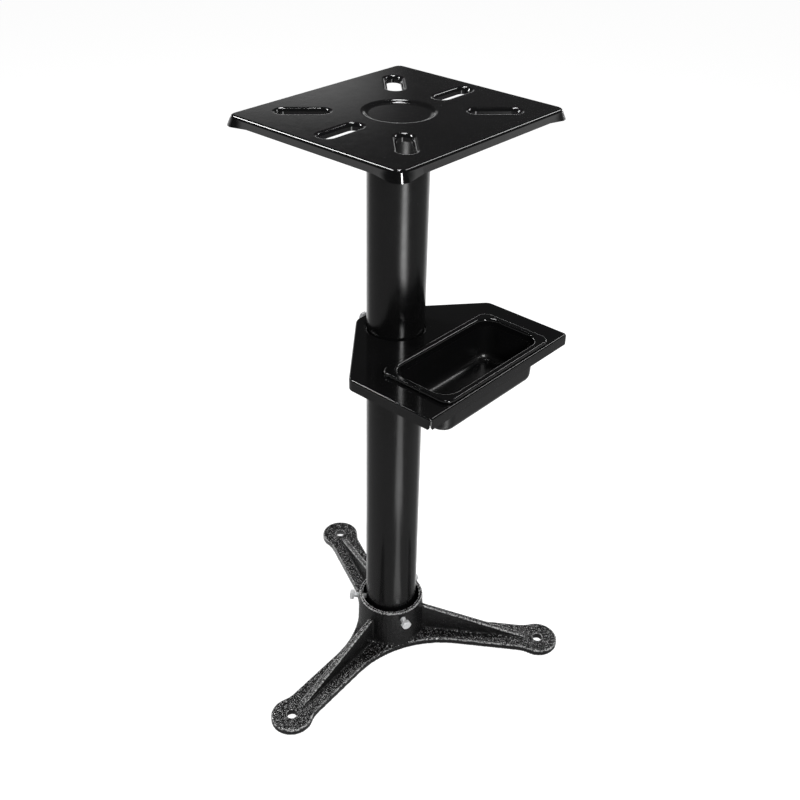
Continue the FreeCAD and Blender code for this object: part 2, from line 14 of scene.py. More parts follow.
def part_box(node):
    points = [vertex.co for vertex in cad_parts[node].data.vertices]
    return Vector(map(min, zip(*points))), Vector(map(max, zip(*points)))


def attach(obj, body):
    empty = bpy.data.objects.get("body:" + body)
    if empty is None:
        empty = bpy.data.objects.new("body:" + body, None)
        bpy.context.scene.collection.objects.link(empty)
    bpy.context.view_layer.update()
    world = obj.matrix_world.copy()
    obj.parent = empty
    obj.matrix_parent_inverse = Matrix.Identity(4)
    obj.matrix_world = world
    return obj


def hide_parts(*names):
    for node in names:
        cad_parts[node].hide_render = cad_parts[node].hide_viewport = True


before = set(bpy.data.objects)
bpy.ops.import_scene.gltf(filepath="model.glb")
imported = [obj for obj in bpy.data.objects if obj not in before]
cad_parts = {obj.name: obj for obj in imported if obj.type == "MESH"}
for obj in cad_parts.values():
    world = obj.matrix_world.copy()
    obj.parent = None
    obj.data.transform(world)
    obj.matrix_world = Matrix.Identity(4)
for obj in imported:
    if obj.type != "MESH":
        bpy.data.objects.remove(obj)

bl_info = {
    "name": "Bench Grinder Stand",
    "version": (1, 0, 0),
    "blender": (4, 5, 0),
    "location": "3D View > Sidebar > Grinder Stand",
    "description": "Dresses the parts of a bench grinder stand in cast, enamelled and plated finishes",
    "category": "Object",
}

# ---------------------------------------------------------------- fixed values
MM = 0.001
# Specular level and index of refraction of the enamel
SHEEN = 0.5
ENAMEL_IOR = 1.5
# Range within which most of a noise's values lie
NOISE_RANGE = (0.3, 0.7)
# Heights of the slow swell and of dust in the enamel, against the ripple's
SWELL_HEIGHT = 2.2
DUST_HEIGHT = 1.5
# Dust caught in the enamel of the steel parts and of the casting; a speck's edge, in its radii
STEEL_DUST = (0.22, 0.22, 0.22, 1.0)
CASTING_DUST = (0.20, 0.20, 0.20, 1.0)
SPECK_EDGE = (0.6, 1.4)
# Inside the pot the coat turns dull: its roughness there, the height over which it does so,
# and the band of full gloss under the rim
THIN_ROUGHNESS = 0.30
THIN_FADE = 5 * MM
POT_GLOSS_BAND = 6 * MM
# Share of metal in the zinc plating, and the depth of its scratches
PLATING_METAL = 0.45
SCRATCH_DEPTH = 0.02 * MM

# Smoothing passes that soften the casting's skin; every second one swells it back
SOFTENING = (0.5, -0.42, 0.5, -0.42)
# Height above the floor, in grid widths, below which a point of the skin stands on the floor
SEATED = 0.3
# Finer lumps between the lumps: how many times finer, and where in the noise they lie
FINE_LUMPS = 2.3
FINE_OFFSET = Vector((7, 3, 1))
# Further smoothing passes to the level skin that ridges are measured from
RIDGE_PASSES = 9
# Heights of the casting's pebbles and, against them, of its dimples; width of a pebble's crown
PEBBLE_HEIGHT = 0.35 * MM
DIMPLE_SHARE = 0.35
PEBBLE_CROWN = 0.8

# Painted highlights on the casting: light colour painted on pebble crowns, mostly where the
# surface faces up, and along ridges, standing in for glints of the lamps. Each is given as the
# range over which it comes or goes: distance from a pebble's middle, lot of a pebble, height of a
# point over its neighbours in grid widths, upward part of the surface's direction, height over
# the smoothed skin in millimetres, and the grain that breaks the painted ridge highlights up
PEBBLE_TIP = (0.24, 0.44)
PEBBLE_LOT = (0.20, 0.85)
CROWN_HEIGHT = (-0.05, 0.04)
FACING_UP = (0.1, 0.85)
RIDGE_HEIGHT = (0.40, 0.76)
RIDGE_GRAIN = (0.43, 0.52)

# Weld bead: points along each ripple, points across the bead, least swell and its rise
POINTS_PER_RIPPLE = 6
POINTS_ACROSS = 7
LOW_SWELL = 0.55
SWELL_RISE = 0.45

# Floor as it is shown: share of lamp light it returns, its own glow, and how far under the feet it lies
FLOOR_RETURN = (0.30, 0.30, 0.30, 1.0)
FLOOR_GLOW = 0.92
FLOOR_DROP = 0.2 * MM
# In gloss the floor brightens towards the backdrop's heading, from this many degrees off it
FLOOR_REACH = 62.0
# Heading of the backdrop; its brighter side: heading, elevation, reach in degrees, strength
BACKDROP_HEADING = 41.0
BACKDROP_LIGHT = (49.5, 17.0, 8.8, 0.56)
# Degrees to each side of the backdrop's top over which it ends, and the elevations
# between which its white foot fades out upward
BACKDROP_FADE = 1.3
BACKDROP_FOOT = (5.0, 11.0)
# Point that the softboxes face
STAND_MIDDLE = Vector((0, 0, 0.5))
# Softboxes: name, heading, elevation, distance, width, height, radiance
SOFTBOXES = (
    ("left_softbox", 105.0, 51.0, 2.3, 0.28, 0.60, 42.0),
    ("right_softbox", -8.0, 45.0, 2.3, 0.24, 0.70, 12.0),
    ("key_softbox", 247.0, 34.0, 2.4, 0.36, 0.36, 74.0),
    ("back_softbox", 41.0, 61.0, 2.2, 0.28, 0.28, 38.0),
    ("overhead", 41.0, 86.0, 2.2, 0.26, 0.26, 44.0),
    ("low_strip", 41.0, 7.0, 2.6, 1.60, 0.10, 3.0),
    ("low_left_strip", 86.0, 10.0, 2.6, 0.90, 0.12, 15.0),
    ("low_right_strip", -4.0, 10.0, 2.6, 0.90, 0.12, 15.0),
)
# Heading of the strip lamps lying on the floor; name, near end, far end, width, radiance and
# height of each, with different heights because the top one hides the others
STRIP_HEADING = 247.0
FLOOR_STRIPS = (
    ("near_strip", 0.13, 0.45, 0.07, 1.2, 0.002),
    ("middle_strip", 0.35, 1.30, 0.22, 2.0, 0.004),
    ("far_strip", 0.90, 3.20, 0.80, 1.8, 0.003),
    ("core_strip", 1.20, 3.00, 0.45, 4.2, 0.005),
)


# ---------------------------------------------------------------- settings
class CastingSettings(bpy.types.PropertyGroup):
    """Sand-cast, thickly enamelled base."""

    colour: FloatVectorProperty(
        name="Enamel", description="Colour of the enamel over the casting",
        subtype="COLOR", default=(0.0055, 0.0055, 0.0057), min=0.0, max=1.0)
    # Light colour painted on pebble crowns and ridges: painted highlights in place of glints of the lamps
    highlight_colour: FloatVectorProperty(
        name="Painted Highlights",
        description="Colour painted on crowns and edges as highlights of the lamps",
        subtype="COLOR", default=(0.66, 0.66, 0.66), min=0.0, max=1.0)
    roughness: FloatProperty(
        name="Roughness", description="Gloss of the enamel, 0 for a mirror",
        subtype="FACTOR", default=0.16, min=0.0, max=1.0)
    grid: FloatProperty(
        name="Mould Grid", description="Spacing of the skin that carries the sand texture",
        subtype="DISTANCE", default=1.15 * MM, min=0.5 * MM, max=5 * MM)
    lump: FloatProperty(
        name="Lump Size", description="Width of the lumps that the sand leaves",
        subtype="DISTANCE", default=4.2 * MM, min=1 * MM, max=30 * MM)
    lump_height: FloatProperty(
        name="Lump Height", description="Depth of the hollows between the lumps",
        subtype="DISTANCE", default=0.45 * MM, min=0.0, max=2 * MM)
    pebble: FloatProperty(
        name="Pebble Size", description="Width of the fine pebbles in the enamel",
        subtype="DISTANCE", default=2.0 * MM, min=0.5 * MM, max=10 * MM)


class EnamelSettings(bpy.types.PropertyGroup):
    """Gloss enamel of the pressed steel parts."""

    colour: FloatVectorProperty(
        name="Enamel", description="Colour of the enamel on the steel parts",
        subtype="COLOR", default=(0.0040, 0.0040, 0.0042), min=0.0, max=1.0)
    roughness: FloatProperty(
        name="Roughness", description="Gloss of the enamel, 0 for a mirror",
        subtype="FACTOR", default=0.10, min=0.0, max=1.0)
    peel: FloatProperty(
        name="Orange Peel", description="Depth of the ripple in the enamel",
        subtype="DISTANCE", default=0.008 * MM, min=0.0, max=0.5 * MM)
    peel_size: FloatProperty(
        name="Ripple Size", description="Width of the ripples in the enamel",
        subtype="DISTANCE", default=2.6 * MM, min=0.5 * MM, max=20 * MM)
    dust: FloatProperty(
        name="Dust", description="Share of places that hold a speck of dust in the enamel",
        subtype="FACTOR", default=0.12, min=0.0, max=1.0)


class PlatingSettings(bpy.types.PropertyGroup):
    """Bright zinc plating of the bolts."""

    colour: FloatVectorProperty(
        name="Zinc", description="Colour of the plating",
        subtype="COLOR", default=(0.86, 0.87, 0.88), min=0.0, max=1.0)
    roughness: FloatProperty(
        name="Roughness", description="Gloss of the plating, 0 for a mirror",
        subtype="FACTOR", default=0.32, min=0.0, max=1.0)


class WeldSettings(bpy.types.PropertyGroup):
    """Weld bead under the top plate."""

    bulge: FloatProperty(
        name="Bulge", description="How far the bead's face stands out between its two edges",
        subtype="DISTANCE", default=0.9 * MM, min=0.0, max=3 * MM)
    ripples: IntProperty(
        name="Ripples", description="Number of ripples round the bead", default=96, min=8, max=400)


class StudioSettings(bpy.types.PropertyGroup):
    """Floor, light and camera."""

    floor_colour: FloatVectorProperty(
        name="Floor", description="Colour of the floor",
        subtype="COLOR", default=(0.80, 0.80, 0.80), min=0.0, max=1.0)
    floor_size: FloatProperty(
        name="Floor Size", description="Side of the square floor",
        subtype="DISTANCE", default=14.0, min=1.0, max=50.0)
    floor_level: FloatProperty(
        name="Floor in Gloss", description="How bright the floor shows in glossy pieces",
        subtype="FACTOR", default=0.24, min=0.0, max=1.0)
    backdrop_top: FloatProperty(
        name="Backdrop Top", description="Elevation at which the backdrop ends in reflections",
        subtype="ANGLE", default=radians(17.3))
    backdrop_level: FloatProperty(
        name="Backdrop in Gloss", description="How bright the backdrop shows in glossy pieces",
        default=0.01, min=0.0, max=1.0)
    room_level: FloatProperty(
        name="Room in Gloss", description="How bright the room over the backdrop shows in glossy pieces",
        default=0.045, min=0.0, max=1.0)
    sky: FloatProperty(
        name="Room Light", description="Even light from the room", default=0.14, min=0.0, max=2.0)
    heading: FloatProperty(
        name="Heading", description="Turn of the camera round the column, from looking along +Y",
        subtype="ANGLE", default=radians(-49.0))
    pitch: FloatProperty(
        name="Pitch", description="Downward tilt of the camera",
        subtype="ANGLE", default=radians(33.095))
    roll: FloatProperty(
        name="Roll", description="Roll of the camera", subtype="ANGLE", default=radians(1.209))
    distance: FloatProperty(
        name="Distance", description="Level distance from the column to the camera",
        subtype="DISTANCE", default=1173.341 * MM)
    side: FloatProperty(
        name="Side Step", description="Sideways step of the camera",
        subtype="DISTANCE", default=7.739 * MM)
    height: FloatProperty(
        name="Height", description="Height of the camera above the floor",
        subtype="DISTANCE", default=1192.837 * MM)
    lens: FloatProperty(
        name="Lens", description="Focal length on a 36 mm sensor, in millimetres", default=46.344)


# ---------------------------------------------------------------- shader nodes
def add_node(tree, kind, inputs=None, **settings):
    """Adds a shader node, sets its properties, and sets or links its inputs."""
    item = tree.nodes.new(kind)
    for name, value in settings.items():
        setattr(item, name, value)
    for name, value in (inputs or {}).items():
        socket = item.inputs[name]
        if isinstance(value, bpy.types.NodeSocket):
            tree.links.new(value, socket)
        else:
            socket.default_value = value
    return item


def grain(tree, place, size, detail=2.0, roughness=0.5):
    """Noise whose features are about size metres wide, 0 to 1."""
    item = add_node(tree, "ShaderNodeTexNoise", {
        "Vector": place, "Scale": 1.0 / size, "Detail": detail, "Roughness": roughness})
    return item.outputs["Fac"]


def ranged(tree, value, low, high, to_low, to_high):
    """Maps value from low..high to to_low..to_high, clamped."""
    item = add_node(tree, "ShaderNodeMapRange", {
        "Value": value, "From Min": low, "From Max": high, "To Min": to_low, "To Max": to_high})
    return item.outputs["Result"]


def maths(tree, operation, first, second):
    """Result of one sum on two values or sockets."""
    item = add_node(tree, "ShaderNodeMath", {0: first, 1: second}, operation=operation)
    return item.outputs["Value"]


def blended_colour(tree, factor, first, second):
    """Mixes two colours by the socket factor: 0 gives the first, 1 the second."""
    item = tree.nodes.new("ShaderNodeMix")
    item.data_type = "RGBA"
    tree.links.new(factor, item.inputs[0])
    for socket, value in ((item.inputs[6], first), (item.inputs[7], second)):
        if isinstance(value, bpy.types.NodeSocket):
            tree.links.new(value, socket)
        else:
            socket.default_value = value
    return item.outputs[2]


def opaque(colour, factor=1.0):
    """Four-number colour from three, made lighter or darker by factor."""
    return (colour[0] * factor, colour[1] * factor, colour[2] * factor, 1.0)


def new_finish(name):
    """Empty material with its node tree and the piece's own coordinates."""
    finish = bpy.data.materials.new(name)
    finish.use_nodes = True
    tree = finish.node_tree
    tree.nodes.clear()
    place = add_node(tree, "ShaderNodeTexCoord").outputs["Object"]
    return finish, tree, place


def close_finish(tree, shader):
    """Leads the shader to the material's output."""
    add_node(tree, "ShaderNodeOutputMaterial", {"Surface": shader.outputs["BSDF"]})


def dust_specks(tree, place, share, spacing=7 * MM, radius=0.22 * MM):
    """1 on small round specks of dust that fill a share of the cells, 0 elsewhere."""
    cells = add_node(tree, "ShaderNodeTexVoronoi", {"Vector": place, "Scale": 1.0 / spacing})
    inner, outer = (share_of * radius / spacing for share_of in SPECK_EDGE)
    reach = ranged(tree, cells.outputs["Distance"], inner, outer, 1.0, 0.0)
    lot = add_node(tree, "ShaderNodeSeparateColor", {"Color": cells.outputs["Color"]}).outputs["Red"]
    chosen = maths(tree, "LESS_THAN", lot, share)
    return maths(tree, "MULTIPLY", reach, chosen)


def enamel_finish(name, settings, peel=1.0, gloss=1.0, thin_below=None):
    """Gloss enamel on steel: slow changes of tone and gloss, orange peel and specks of dust.

    Below the height thin_below the coat is thin and dull, as it is deep inside a drawn pot.
    """
    finish, tree, place = new_finish(name)
    cloud = grain(tree, place, size=70 * MM, detail=3.0)
    haze = grain(tree, place, size=14 * MM, detail=4.0, roughness=0.6)
    specks = dust_specks(tree, place, settings.dust)
    tone = blended_colour(tree, cloud, opaque(settings.colour, 0.8), opaque(settings.colour, 1.3))
    colour = blended_colour(tree, specks, tone, STEEL_DUST)
    rough = settings.roughness * gloss
    roughness = ranged(tree, haze, *NOISE_RANGE, 0.85 * rough, 1.2 * rough)
    roughness = maths(tree, "MAXIMUM", roughness, ranged(tree, specks, 0.0, 1.0, 0.0, 0.6))
    if thin_below is not None:
        height = add_node(tree, "ShaderNodeSeparateXYZ", {"Vector": place}).outputs["Z"]
        thin = ranged(tree, height, thin_below - THIN_FADE, thin_below, THIN_ROUGHNESS, 0.0)
        roughness = maths(tree, "MAXIMUM", roughness, thin)
    ripple = grain(tree, place, settings.peel_size, detail=1.0)
    swell = grain(tree, place, size=9 * MM, detail=1.0)
    height = maths(tree, "ADD", ripple, maths(tree, "MULTIPLY", swell, SWELL_HEIGHT))
    height = maths(tree, "ADD", height, maths(tree, "MULTIPLY", specks, DUST_HEIGHT))
    bump = add_node(tree, "ShaderNodeBump", {
        "Strength": 1.0, "Distance": settings.peel * peel, "Height": height})
    shader = add_node(tree, "ShaderNodeBsdfPrincipled", {
        "Base Color": colour, "Roughness": roughness, "Normal": bump.outputs["Normal"],
        "IOR": ENAMEL_IOR, "Specular IOR Level": SHEEN})
    close_finish(tree, shader)
    return finish


def casting_finish(name, settings):
    """Thick enamel over a sand casting: pebbles under a glossy skin, with highlights painted light on
    crowns and ridges.
    """
    finish, tree, place = new_finish(name)
    cloud = grain(tree, place, size=45 * MM, detail=3.0)
    haze = grain(tree, place, size=9 * MM, detail=4.0, roughness=0.6)
    pebbles = add_node(tree, "ShaderNodeTexVoronoi", {"Vector": place, "Scale": 1.0 / settings.pebble})
    dimple = grain(tree, place, size=1.1 * MM, detail=1.0)
    specks = dust_specks(tree, place, share=0.15, spacing=9 * MM, radius=0.25 * MM)
    tone = blended_colour(tree, cloud, opaque(settings.colour, 0.75), opaque(settings.colour, 1.4))
    crown = add_node(tree, "ShaderNodeAttribute", attribute_name="crown").outputs["Fac"]
    normal = add_node(tree, "ShaderNodeNewGeometry").outputs["Normal"]
    upward = add_node(tree, "ShaderNodeSeparateXYZ", {"Vector": normal}).outputs["Z"]
    # The painted highlights lie mostly where the surface faces up, towards the lamps
    upward = ranged(tree, upward, *FACING_UP, 0.03, 1.0)
    lot = add_node(tree, "ShaderNodeSeparateColor", {"Color": pebbles.outputs["Color"]}).outputs["Red"]
    tip = maths(tree, "MULTIPLY", ranged(tree, pebbles.outputs["Distance"], *PEBBLE_TIP, 1.0, 0.0),
                ranged(tree, lot, *PEBBLE_LOT, 0.0, 1.0))
    # Painted highlights on the pebble crowns
    raised = maths(tree, "MULTIPLY", tip, ranged(tree, crown, *CROWN_HEIGHT, 0.25, 1.0))
    crown_glints = maths(tree, "MULTIPLY", raised, upward)
    # Painted highlights along ridges and edges, broken up by a grain
    ridge = add_node(tree, "ShaderNodeAttribute", attribute_name="ridge").outputs["Fac"]
    breaks = ranged(tree, grain(tree, place, size=2.2 * MM, detail=1.0), *RIDGE_GRAIN, 0.05, 1.0)
    edge = maths(tree, "MULTIPLY", ranged(tree, ridge, *RIDGE_HEIGHT, 0.0, 1.0), breaks)
    painted_highlights = maths(tree, "MAXIMUM", crown_glints, edge)
    # Painted highlight: light colour laid on crowns and ridges in place of glints of the lamps
    tone = blended_colour(tree, painted_highlights, tone, opaque(settings.highlight_colour))
    colour = blended_colour(tree, specks, tone, CASTING_DUST)
    roughness = ranged(tree, haze, *NOISE_RANGE, 0.8 * settings.roughness, 1.25 * settings.roughness)
    crowns = ranged(tree, pebbles.outputs["Distance"], 0.0, PEBBLE_CROWN, 1.0, 0.0)
    height = maths(tree, "ADD", crowns, maths(tree, "MULTIPLY", dimple, DIMPLE_SHARE))
    bump = add_node(tree, "ShaderNodeBump", {
        "Strength": 1.0, "Distance": PEBBLE_HEIGHT, "Height": height})
    shader = add_node(tree, "ShaderNodeBsdfPrincipled", {
        "Base Color": colour, "Roughness": roughness, "Normal": bump.outputs["Normal"],
        "IOR": ENAMEL_IOR, "Specular IOR Level": SHEEN})
    close_finish(tree, shader)
    return finish


def plating_finish(name, settings):
    """Bright zinc: metal with a cloudy tone and fine scratches."""
    finish, tree, place = new_finish(name)
    cloud = grain(tree, place, size=4 * MM, detail=4.0, roughness=0.6)
    fine = grain(tree, place, size=0.5 * MM, detail=3.0)
    colour = blended_colour(tree, cloud, opaque(settings.colour, 0.82), opaque(settings.colour, 1.1))
    roughness = ranged(tree, fine, *NOISE_RANGE, 0.75 * settings.roughness, 1.3 * settings.roughness)
    bump = add_node(tree, "ShaderNodeBump", {
        "Strength": 0.5, "Distance": SCRATCH_DEPTH, "Height": fine})
    shader = add_node(tree, "ShaderNodeBsdfPrincipled", {
        "Base Color": colour, "Roughness": roughness, "Normal": bump.outputs["Normal"],
        "Metallic": PLATING_METAL})
    close_finish(tree, shader)
    return finish


def paint(obj, finish):
    """Puts one finish on every material slot of a piece."""
    if not obj.material_slots:
        obj.data.materials.append(finish)
    for slot in obj.material_slots:
        slot.material = finish


def node(name):
    """Object of one of the stand's CAD nodes."""
    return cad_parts[name]


def new_piece(name, vertices, faces, smooth=True):
    """Mesh object from lists of points and faces, linked to the scene."""
    mesh = bpy.data.meshes.new(name)
    mesh.from_pydata([tuple(v) for v in vertices], [], faces)
    mesh.validate()
    for polygon in mesh.polygons:
        polygon.use_smooth = smooth
    piece = bpy.data.objects.new(name, mesh)
    bpy.context.scene.collection.objects.link(piece)
    return piece


# ---------------------------------------------------------------- base casting
def neighbour_mean(points, edges, degree):
    """Mean place of each point's neighbours along the edges."""
    total = np.zeros_like(points)
    np.add.at(total, edges[:, 0], points[edges[:, 1]])
    np.add.at(total, edges[:, 1], points[edges[:, 0]])
    return total / degree


def keep_on_points(mesh, name, values):
    """Stores one number for each point, for the finish to read."""
    mesh.attributes.new(name, "FLOAT", "POINT").data.foreach_set("value", values)


def cast_skin(source, settings):
    """Even skin over the casting, softened at its edges and lumpy as it left the sand."""
    mesh = source.data.copy()
    rough = bpy.data.objects.new("rough_casting", mesh)
    bpy.context.scene.collection.objects.link(rough)
    remesh = rough.modifiers.new("skin", "REMESH")
    remesh.mode = "VOXEL"
    remesh.voxel_size = settings.grid
    remesh.use_smooth_shade = True
    depsgraph = bpy.context.evaluated_depsgraph_get()
    skin = bpy.data.meshes.new_from_object(rough.evaluated_get(depsgraph))
    bpy.data.objects.remove(rough)
    if len(skin.vertices) == 0:
        raise RuntimeError("the casting's skin came out empty")
    count = len(skin.vertices)
    points = np.empty(count * 3)
    skin.vertices.foreach_get("co", points)
    points = points.reshape(-1, 3)
    edges = np.empty(len(skin.edges) * 2, dtype=np.int64)
    skin.edges.foreach_get("vertices", edges)
    edges = edges.reshape(-1, 2)
    low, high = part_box("base_casting")
    seated = points[:, 2] < low.z + SEATED * settings.grid
    casting = BVHTree.FromPolygons([v.co for v in source.data.vertices],
                                   [tuple(f.vertices) for f in source.data.polygons])
    points = np.array([casting.find_nearest(Vector(p))[0] for p in points])
    degree = np.bincount(edges.ravel(), minlength=count).astype(float)[:, None]
    for shift in SOFTENING:
        points += shift * (neighbour_mean(points, edges, degree) - points)
    skin.vertices.foreach_set("co", points.ravel())
    skin.update()
    normals = np.empty(count * 3)
    skin.vertices.foreach_get("normal", normals)
    normals = normals.reshape(-1, 3)
    hollow = np.array([
        noise.noise(Vector(p) / settings.lump)
        + 0.5 * noise.noise(Vector(p) * FINE_LUMPS / settings.lump + FINE_OFFSET)
        for p in points])
    hollow = np.clip(hollow * 0.5 + 0.5, 0.0, 1.0)
    points -= normals * (hollow * settings.lump_height)[:, None]
    points[seated, 2] = low.z
    points = np.clip(points, np.array(low), np.array(high))
    skin.vertices.foreach_set("co", points.ravel())
    skin.update()
    skin.vertices.foreach_get("normal", normals.ravel())
    soft = neighbour_mean(points, edges, degree)
    keep_on_points(skin, "crown", ((points - soft) * normals).sum(axis=1) / settings.grid)
    for _ in range(RIDGE_PASSES):
        soft = neighbour_mean(soft, edges, degree)
    keep_on_points(skin, "ridge", ((points - soft) * normals).sum(axis=1) / MM)
    return skin


class STAND_OT_casting(bpy.types.Operator):
    """Give the cast base its sand texture and thick enamel"""
    bl_idname = "stand.casting"
    bl_label = "Cast Base"
    bl_options = {"REGISTER", "UNDO"}

    def execute(self, context):
        settings = context.scene.stand_casting
        skin = cast_skin(node("base_casting"), settings)
        skin.name = "cast_base"
        skin.materials.clear()
        for polygon in skin.polygons:
            polygon.use_smooth = True
        piece = bpy.data.objects.new("cast_base", skin)
        context.scene.collection.objects.link(piece)
        paint(piece, casting_finish("cast_enamel", settings))
        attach(piece, "base")
        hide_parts("base_casting")
        paint(node("base_casting"), piece.data.materials[0])
        return {"FINISHED"}


# ---------------------------------------------------------------- column
def weld_bead(settings):
    """Ring of weld metal in the corner under the plate's recess, with the ripples of its laying."""
    low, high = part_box("column_weld")
    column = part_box("column_tube")[1]
    foot = Vector((column.x, low.z))
    top = Vector((high.x, high.z))
    out = Vector((top.y - foot.y, foot.x - top.x)).normalized()
    turns = settings.ripples * POINTS_PER_RIPPLE
    pitch = 2 * pi / settings.ripples
    vertices = []
    for turn in range(turns):
        swell = LOW_SWELL + SWELL_RISE * sin(pi * (turn % POINTS_PER_RIPPLE + 0.5) / POINTS_PER_RIPPLE)
        for step in range(POINTS_ACROSS):
            share = step / (POINTS_ACROSS - 1)
            arch = sin(pi * share)
            spot = foot.lerp(top, share) + out * (settings.bulge * arch * swell)
            angle = 2 * pi * turn / turns + pitch * arch
            vertices.append((spot.x * cos(angle), spot.x * sin(angle), spot.y))
        angle = 2 * pi * turn / turns
        vertices.append((column.x * cos(angle), column.x * sin(angle), column.z))
    ring = POINTS_ACROSS + 1
    faces = []
    for turn in range(turns):
        here = turn * ring
        there = (turn + 1) % turns * ring
        for step in range(ring):
            after = (step + 1) % ring
            faces.append((here + step, there + step, there + after, here + after))
    return new_piece("weld_bead", vertices, faces)


class STAND_OT_column(bpy.types.Operator):
    """Enamel the column and lay the weld bead under the plate"""
    bl_idname = "stand.column"
    bl_label = "Column"
    bl_options = {"REGISTER", "UNDO"}

    def execute(self, context):
        finish = enamel_finish("column_gloss", context.scene.stand_enamel, peel=0.8, gloss=2.1)
        paint(node("column_tube"), finish)
        paint(node("column_weld"), finish)
        bead = weld_bead(context.scene.stand_weld)
        paint(bead, finish)
        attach(bead, "column")
        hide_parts("column_weld")
        return {"FINISHED"}


# ---------------------------------------------------------------- plate
class STAND_OT_plate(bpy.types.Operator):
    """Enamel the top plate"""
    bl_idname = "stand.plate"
    bl_label = "Top Plate"
    bl_options = {"REGISTER", "UNDO"}

    def execute(self, context):
        finish = enamel_finish("plate_gloss", context.scene.stand_enamel, peel=1.0, gloss=1.1)
        paint(node("top_plate"), finish)
        return {"FINISHED"}


# ---------------------------------------------------------------- tray and pot
class STAND_OT_tray(bpy.types.Operator):
    """Enamel the tool tray and its weld nut"""
    bl_idname = "stand.tray"
    bl_label = "Tool Tray"
    bl_options = {"REGISTER", "UNDO"}

    def execute(self, context):
        finish = enamel_finish("tray_gloss", context.scene.stand_enamel, peel=0.5, gloss=0.9)
        paint(node("tool_tray"), finish)
        paint(node("tray_weld_nut"), finish)
        return {"FINISHED"}


class STAND_OT_pot(bpy.types.Operator):
    """Enamel the water pot"""
    bl_idname = "stand.pot"
    bl_label = "Water Pot"
    bl_options = {"REGISTER", "UNDO"}

    def execute(self, context):
        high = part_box("water_pot")[1]
        finish = enamel_finish("pot_gloss", context.scene.stand_enamel, peel=0.5, gloss=0.8,
                               thin_below=high.z - POT_GLOSS_BAND)
        paint(node("water_pot"), finish)
        return {"FINISHED"}


# ---------------------------------------------------------------- bolts
class STAND_OT_bolts(bpy.types.Operator):
    """Plate the set bolts and the tray's clamp bolt"""
    bl_idname = "stand.bolts"
    bl_label = "Bolts"
    bl_options = {"REGISTER", "UNDO"}

    def execute(self, context):
        finish = plating_finish("bright_zinc", context.scene.stand_plating)
        for name in ("set_bolt_1", "set_bolt_2", "set_bolt_3", "tray_clamp_bolt"):
            paint(node(name), finish)
        return {"FINISHED"}


# ---------------------------------------------------------------- floor, light and camera
def heading_vector(heading, elevation=0.0):
    """Direction from the column at a heading from +X and an elevation, both in degrees."""
    flat = cos(radians(elevation))
    return (flat * cos(radians(heading)), flat * sin(radians(heading)), sin(radians(elevation)))


def lobe(tree, way, heading, elevation, reach, strength):
    """Soft round patch of light in one direction, reach degrees from its middle to its edge."""
    aim = add_node(tree, "ShaderNodeVectorMath", {0: way, 1: heading_vector(heading, elevation)},
                   operation="DOT_PRODUCT").outputs["Value"]
    patch = add_node(tree, "ShaderNodeMapRange", {
        "Value": aim, "From Min": cos(radians(reach)), "From Max": cos(radians(0.25 * reach)),
        "To Min": 0.0, "To Max": strength}, interpolation_type="SMOOTHSTEP")
    return patch.outputs["Result"]


def seen_rays(tree):
    """1 for rays that show the background: straight to the camera, in gloss and through glass."""
    path = add_node(tree, "ShaderNodeLightPath")
    mirrored = maths(tree, "MAXIMUM", path.outputs["Is Camera Ray"], path.outputs["Is Glossy Ray"])
    return path, maths(tree, "MAXIMUM", mirrored, path.outputs["Is Transmission Ray"])


def floor_finish(settings):
    """Pale floor that reads as white and takes the shadow; in gloss it dims away from the backdrop."""
    finish, tree, place = new_finish("studio_floor")
    path, seen = seen_rays(tree)
    cloud = grain(tree, place, size=0.6, detail=2.0)
    colour = blended_colour(tree, cloud, opaque(settings.floor_colour, 0.97), opaque(settings.floor_colour))
    plain = add_node(tree, "ShaderNodeBsdfDiffuse", {"Color": colour})
    soft = add_node(tree, "ShaderNodeBsdfDiffuse", {"Color": FLOOR_RETURN})
    glow = add_node(tree, "ShaderNodeEmission", {"Color": (1, 1, 1, 1), "Strength": FLOOR_GLOW})
    white = add_node(tree, "ShaderNodeAddShader", {0: soft.outputs[0], 1: glow.outputs[0]})
    outward = add_node(tree, "ShaderNodeVectorMath", {0: place}, operation="NORMALIZE").outputs["Vector"]
    behind = lobe(tree, outward, BACKDROP_HEADING, 0.0, FLOOR_REACH, 1.0 - settings.floor_level)
    unlit = maths(tree, "SUBTRACT", 1.0 - settings.floor_level, behind)
    dimming = maths(tree, "MULTIPLY", path.outputs["Is Glossy Ray"], unlit)
    white = add_node(tree, "ShaderNodeMixShader", {0: dimming, 1: white.outputs[0]})
    mixed = add_node(tree, "ShaderNodeMixShader", {0: seen, 1: plain.outputs[0], 2: white.outputs[0]})
    add_node(tree, "ShaderNodeOutputMaterial", {"Surface": mixed.outputs[0]})
    return finish


